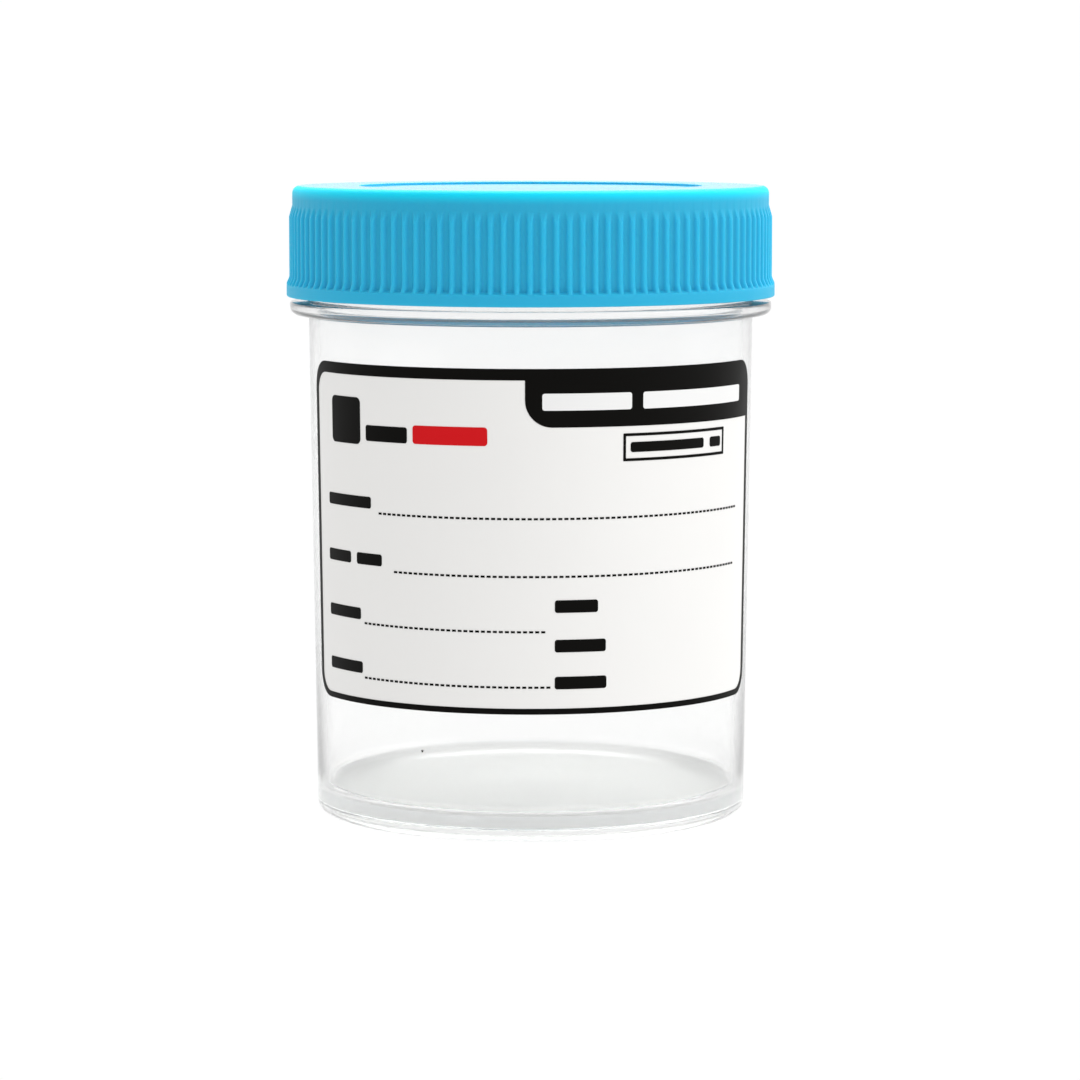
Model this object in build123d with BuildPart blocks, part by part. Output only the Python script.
"""Screw-lid specimen container: a moulded cup, its ribbed lid and its wrap-round label.

Millimetres, +Z up. The origin is the centre of the ring that the cup stands on.
Each round piece is a profile of (radius, height) points turned about the Z axis.
The label faces -Y. Places on it are measured along its arc, to the right of the front,
and down from its top edge.
"""

from build123d import *
import math
import os

# ------------------------------------------------------------------ driving dimensions
# Heights
overall_height = 77.1
lid_height = 13.5
lid_to_collar_gap = 0.6
collar_height = 1.6

# Cup body and its foot
body_top_radius = 27.3
body_draft = 0.793
body_wall = 1.2
floor_thickness = 1.4
floor_recess = 1.4
floor_fillet = 1.6
foot_ring_width = 1.1
heel_round = 1.2
recess_bevel = 0.4
gate_nub_radius = 1.1
gate_nub_height = 0.5

# Collar bead and neck
collar_setback = 0.4
collar_under_round = 0.9
collar_top_bevel = 0.25
collar_root_bevel = 0.3
neck_step = 0.1
neck_wall = 1.1
rim_bevel = 0.3

# Lid shell
thread_room = 1.0
lid_wall = 1.05
lid_top_thickness = 1.4
lid_corner_round = 0.9
lid_rim_width = 8.25
lid_panel_depth = 0.3
mouth_lead_in = 0.5
flare_width = 0.75
flare_height = 1.45
flare_shoulder = 0.3
flare_edge_bevel = 0.2

# Grip ribs round the lid
rib_count = 120
rib_height = 0.4
rib_crest_width = 0.5
rib_foot_width = 0.86
rib_root_depth = 0.3
rib_top_drop = 2.35
rib_run_out = 1.4

# Plug seal under the lid
plug_clearance = 0.08
plug_wall = 0.9
plug_depth = 2.8
plug_lead_in = 0.4

# Label film
label_drop = 5.1
label_height = 40.9
label_width = 69.0
label_offset = 0.8
label_corner = 3.2
label_thickness = 0.12
label_gap = 0.02

# Print on the label: border, header field, and writing rules as (drop, left, right)
ink_thickness = 0.06
ink_gap = 0.01
border_side = 0.9
border_bottom = 0.7
border_top = 1.35
border_inner_corner = 2.4
header_height = 6.9
header_left = -0.6
header_corner = 3.2
rule_width = 0.25
rules = (
    (17.8, -19.6, 30.5),
    (24.65, -17.3, 30.5),
    (31.2, -22.3, 2.0),
    (37.8, -22.4, 2.0),
)

# ------------------------------------------------------------------ derived sizes
lid_bottom = overall_height - lid_height
shoulder_bottom = lid_bottom + flare_height
rim_top = overall_height - lid_top_thickness
panel_height = overall_height - lid_panel_depth
plug_end = rim_top - plug_depth
rib_top = overall_height - rib_top_drop
collar_top = lid_bottom - lid_to_collar_gap
collar_bottom = collar_top - collar_height
floor_top = floor_recess + floor_thickness
label_top = collar_bottom - label_drop
label_bottom = label_top - label_height

neck_radius = body_top_radius - neck_step
mouth_radius = neck_radius - neck_wall
plug_radius = mouth_radius - plug_clearance
skirt_radius = neck_radius + thread_room
lid_band_radius = skirt_radius + lid_wall
lid_panel_radius = lid_band_radius - lid_rim_width
rib_crest_radius = lid_band_radius + rib_height
rib_root_radius = lid_band_radius - rib_root_depth
rib_root_top = rib_top + rib_root_depth * rib_run_out / rib_height
flare_radius = lid_band_radius + flare_width
collar_radius = flare_radius - collar_setback


def body_radius(height):
    """Outer radius of the tapered body at this height."""
    return body_top_radius - (collar_bottom - height) * math.tan(math.radians(body_draft))


body_base_radius = body_radius(0)
foot_inner_radius = body_base_radius - heel_round - foot_ring_width
label_radius = body_radius((label_bottom + label_top) / 2)


def near(profile, *places):
    """The profile's corners nearest to these (radius, height) places."""
    return [profile.vertices().sort_by_distance(Vector(*place))[0] for place in places]


def turn_at(arc):
    """Turn in degrees, right of the front, of a place this far along the label's arc."""
    return math.degrees(arc / label_radius)


def outward(turn):
    """Unit vector straight out from the Z axis, this many degrees right of the front."""
    return Vector(0, -1, 0).rotate(Axis.Z, turn)


def section_plane(turn):
    """Upright plane through the Z axis, with X outwards and Y up."""
    return Plane(origin=(0, 0, 0), x_dir=outward(turn), z_dir=outward(turn - 90))


def facing_plane(turn, height):
    """Plane that faces the body at this turn and height, with X to the right and Y up."""
    return Plane(origin=(0, 0, height), x_dir=outward(turn + 90), z_dir=outward(turn))


def skin(level, thickness, low, high, left, right, corner=0.0, rounded=()):
    """A patch of thin skin on the tapered body, as the label's film or its ink.

    It lies this level off the wall, from low to high and from left to right. Each corner
    in rounded, given as (right or left, up or down) signs, gets the corner radius.
    """
    with BuildPart() as patch:
        with BuildSketch(section_plane(turn_at(left))):
            with BuildLine():
                Polyline(
                    (body_radius(low) + level, low),
                    (body_radius(low) + level + thickness, low),
                    (body_radius(high) + level + thickness, high),
                    (body_radius(high) + level, high),
                    close=True,
                )
            make_face()
        revolve(axis=Axis.Z, revolution_arc=turn_at(right) - turn_at(left))
        for side, end in rounded:
            turn = turn_at(right if side > 0 else left)
            height = high if end > 0 else low
            with BuildSketch(facing_plane(turn, height)):
                Rectangle(2 * corner, 2 * corner)
                with Locations((-side * corner, -end * corner)):
                    Circle(corner, mode=Mode.SUBTRACT)
            extrude(amount=2 * label_radius, mode=Mode.SUBTRACT)
    return patch.part


# ------------------------------------------------------------------ container
with BuildPart() as container:
    with BuildSketch(Plane.XZ) as cup_profile:
        with BuildLine():
            Polyline(
                (0, floor_recess),
                (foot_inner_radius, floor_recess),
                (foot_inner_radius, 0),
                (body_base_radius, 0),
                (body_top_radius, collar_bottom),
                (collar_radius, collar_bottom),
                (collar_radius, collar_top),
                (neck_radius, collar_top),
                (neck_radius, rim_top),
                (mouth_radius, rim_top),
                (body_top_radius - body_wall, collar_bottom),
                (body_radius(floor_top) - body_wall, floor_top),
                (0, floor_top),
                close=True,
            )
        make_face()
        fillet(near(cup_profile, (body_base_radius, 0)), heel_round)
        fillet(near(cup_profile, (body_radius(floor_top) - body_wall, floor_top)), floor_fillet)
        fillet(near(cup_profile, (collar_radius, collar_bottom)), collar_under_round)
        chamfer(near(cup_profile, (collar_radius, collar_top)), collar_top_bevel)
        collar_roots = near(
            cup_profile, (body_top_radius, collar_bottom), (neck_radius, collar_top)
        )
        chamfer(collar_roots, collar_root_bevel)
        chamfer(near(cup_profile, (foot_inner_radius, floor_recess)), recess_bevel)
        chamfer(near(cup_profile, (neck_radius, rim_top), (mouth_radius, rim_top)), rim_bevel)
    revolve(axis=Axis.Z)
    # The stub left by the moulding gate, in the recess under the floor
    with BuildSketch(Plane.XY.offset(floor_recess)):
        Circle(gate_nub_radius)
    extrude(amount=-gate_nub_height)
container.part.label = "container"

# ------------------------------------------------------------------ grip rib
# A tapered bar rooted in the skirt. Its foot dies into the flare's shoulder, and its top
# slopes back through the plain band to its root.
with BuildPart() as grip_rib:
    with BuildSketch(Plane.XY.offset(shoulder_bottom)):
        Polygon(
            (rib_root_radius, -rib_foot_width / 2),
            (lid_band_radius, -rib_foot_width / 2),
            (rib_crest_radius, -rib_crest_width / 2),
            (rib_crest_radius, rib_crest_width / 2),
            (lid_band_radius, rib_foot_width / 2),
            (rib_root_radius, rib_foot_width / 2),
            align=None,
        )
    extrude(amount=rib_root_top - shoulder_bottom)
    with BuildSketch(Plane.XZ):
        Polygon(
            (rib_root_radius, rib_root_top),
            (rib_crest_radius, rib_top - rib_run_out),
            (flare_radius, rib_top - rib_run_out),
            (flare_radius, rib_root_top),
            align=None,
        )
    extrude(amount=rib_foot_width, both=True, mode=Mode.SUBTRACT)

# ------------------------------------------------------------------ lid
with BuildPart() as lid:
    with BuildSketch(Plane.XZ) as lid_profile:
        with BuildLine():
            Polyline(
                (0, panel_height),
                (lid_panel_radius, panel_height),
                (lid_panel_radius, overall_height),
                (lid_band_radius, overall_height),
                (lid_band_radius, shoulder_bottom + flare_shoulder),
                (flare_radius, shoulder_bottom),
                (flare_radius, lid_bottom),
                (skirt_radius + mouth_lead_in, lid_bottom),
                (skirt_radius, lid_bottom + mouth_lead_in),
                (skirt_radius, rim_top),
                (plug_radius, rim_top),
                (plug_radius, plug_end + plug_lead_in),
                (plug_radius - plug_lead_in, plug_end),
                (plug_radius - plug_wall, plug_end),
                (plug_radius - plug_wall, rim_top),
                (0, rim_top),
                close=True,
            )
        make_face()
        fillet(near(lid_profile, (lid_band_radius, overall_height)), lid_corner_round)
        chamfer(near(lid_profile, (flare_radius, lid_bottom)), flare_edge_bevel)
    revolve(axis=Axis.Z)
    with PolarLocations(0, rib_count):
        add(grip_rib.part)
lid.part.label = "lid"

# ------------------------------------------------------------------ label film
label_left = label_offset - label_width / 2
label_right = label_offset + label_width / 2
lower_left, lower_right, upper_left, upper_right = (-1, -1), (1, -1), (-1, 1), (1, 1)
all_corners = (lower_left, lower_right, upper_left, upper_right)

with BuildPart() as label:
    add(skin(label_gap, label_thickness, label_bottom, label_top, label_left, label_right,
             label_corner, all_corners))
label.part.label = "label"

# ------------------------------------------------------------------ label print
ink_level = label_gap + label_thickness + ink_gap
header_bottom = label_top - header_height
window_left = label_left + border_side
window_right = label_right - border_side
window_bottom = label_bottom + border_bottom
window_top = label_top - border_top

with BuildPart() as label_print:
    # The border runs round the film's edge, and is wider along the top
    add(skin(ink_level, ink_thickness, label_bottom, label_top, label_left, label_right,
             label_corner, all_corners))
    add(skin(ink_level, ink_thickness, window_bottom, window_top, window_left, window_right,
             border_inner_corner, (lower_left, lower_right, upper_left)), mode=Mode.SUBTRACT)
    # The header field fills the upper right corner
    add(skin(ink_level, ink_thickness, header_bottom, label_top, header_left, label_right,
             header_corner, (lower_left, upper_right)))
    for drop, rule_left, rule_right in rules:
        rule_low = label_top - drop
        add(skin(ink_level, ink_thickness, rule_low, rule_low + rule_width,
                 rule_left, rule_right))
label_print.part.label = "label_print"

# ------------------------------------------------------------------ files
os.makedirs("parts", exist_ok=True)
for piece in (container, lid, label, label_print):
    export_step(piece.part, f"parts/{piece.part.label}.step")
